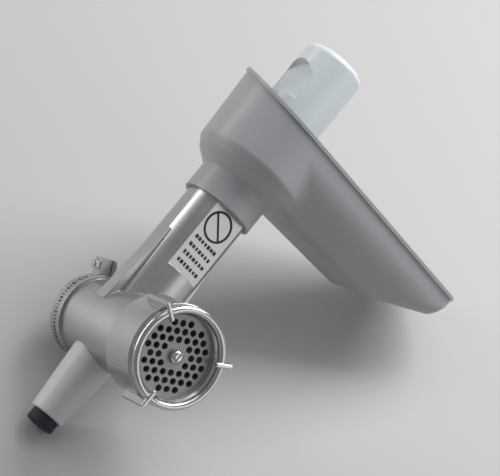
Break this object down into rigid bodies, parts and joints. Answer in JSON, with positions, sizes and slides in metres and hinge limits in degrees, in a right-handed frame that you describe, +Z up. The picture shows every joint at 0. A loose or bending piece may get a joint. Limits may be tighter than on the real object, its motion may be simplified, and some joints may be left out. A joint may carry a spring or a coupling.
{
  "type": "meat grinder head",
  "caption": "Cast meat grinder head with hopper tray, pusher, worm, knife, perforated disc, ring nut, rear coupling and rubber-tipped support leg.",
  "frame": {"origin": "middle of the rear coupling spigot, on the barrel's axis", "axes": "+Z up the feed tube, -Y out of the disc end along the barrel, +X along the tray"},
  "size_m": [0.1962, 0.1185, 0.2755],
  "materials": {
    "cast_aluminium": "satin, fine cast grain",
    "machined_aluminium": "satin, turned",
    "polished_aluminium": "polished, turned",
    "worm_aluminium": "satin cast",
    "disc_steel": "matte ground",
    "blade_steel": "ground",
    "polished_steel": "polished",
    "fastener_steel": "zinc plated",
    "bush_plastic": "moulded",
    "drive_plastic": "moulded",
    "seal_rubber": "matte",
    "foot_rubber": "matte, dark blue black",
    "leg_plastic": "satin moulded, off-white",
    "tray_plastic": "satin moulded, white",
    "pusher_plastic": "soft gloss moulded, white"
  },
  "bodies": {
    "head": {"barrel": "cast_aluminium", "coupling_sleeve": "machined_aluminium", "sleeve_screws": "fastener_steel", "rear_bush": "bush_plastic", "shaft_seal": "seal_rubber", "perforated_disc": "disc_steel", "disc_key": "fastener_steel", "support_leg": "leg_plastic", "leg_stud": "fastener_steel", "leg_foot": "foot_rubber"},
    "worm": {"worm": "worm_aluminium", "worm_stud": "polished_steel", "knife": "blade_steel", "thrust_washer": "bush_plastic", "drive_coupling": "drive_plastic", "coupling_screw": "fastener_steel"},
    "slip_ring": {"slip_ring": "bush_plastic"},
    "ring_nut": {"ring_nut": "polished_aluminium"},
    "tray": {"hopper_tray": "tray_plastic"},
    "pusher": {"pusher_body": "pusher_plastic", "pusher_plug": "pusher_plastic"},
    "lock_ring": {"lock_ring": "machined_aluminium", "lock_nut": "fastener_steel"},
    "lock_screw": {"lock_screw": "fastener_steel"}
  },
  "joints": [
    {"name": "worm_spin", "type": "hinge", "parent": "head", "child": "worm", "pos_m": [0, 0, 0], "axis": [0, -1, 0], "continuous": true},
    {"name": "ring_slide", "type": "slide", "parent": "head", "child": "slip_ring", "axis": [0, -1, 0], "range_m": [0, 0.0241]},
    {"name": "ring_turn", "type": "hinge", "parent": "slip_ring", "child": "ring_nut", "pos_m": [0, -0.1, 0], "axis": [0, -1, 0], "range_deg": [0, 2880]},
    {"name": "tray_lift", "type": "slide", "parent": "head", "child": "tray", "axis": [0, 0, 1], "range_m": [0, 0.03]},
    {"name": "pusher_slide", "type": "slide", "parent": "tray", "child": "pusher", "axis": [0, 0, 1], "range_m": [0, 0.075]},
    {"name": "lock_ring_turn", "type": "hinge", "parent": "head", "child": "lock_ring", "pos_m": [0, -0.0123, 0], "axis": [0, -1, 0], "range_deg": [0, 30]},
    {"name": "lock_screw_turn", "type": "hinge", "parent": "lock_ring", "child": "lock_screw", "pos_m": [-0.01455, -0.0123, 0.02737], "axis": [0.8829, 0, 0.4695], "range_deg": [0, 90]}
  ],
  "couplings": [
    {"joint": "ring_slide", "follows": "ring_turn", "m_per_rad": 0.00047746}
  ]
}
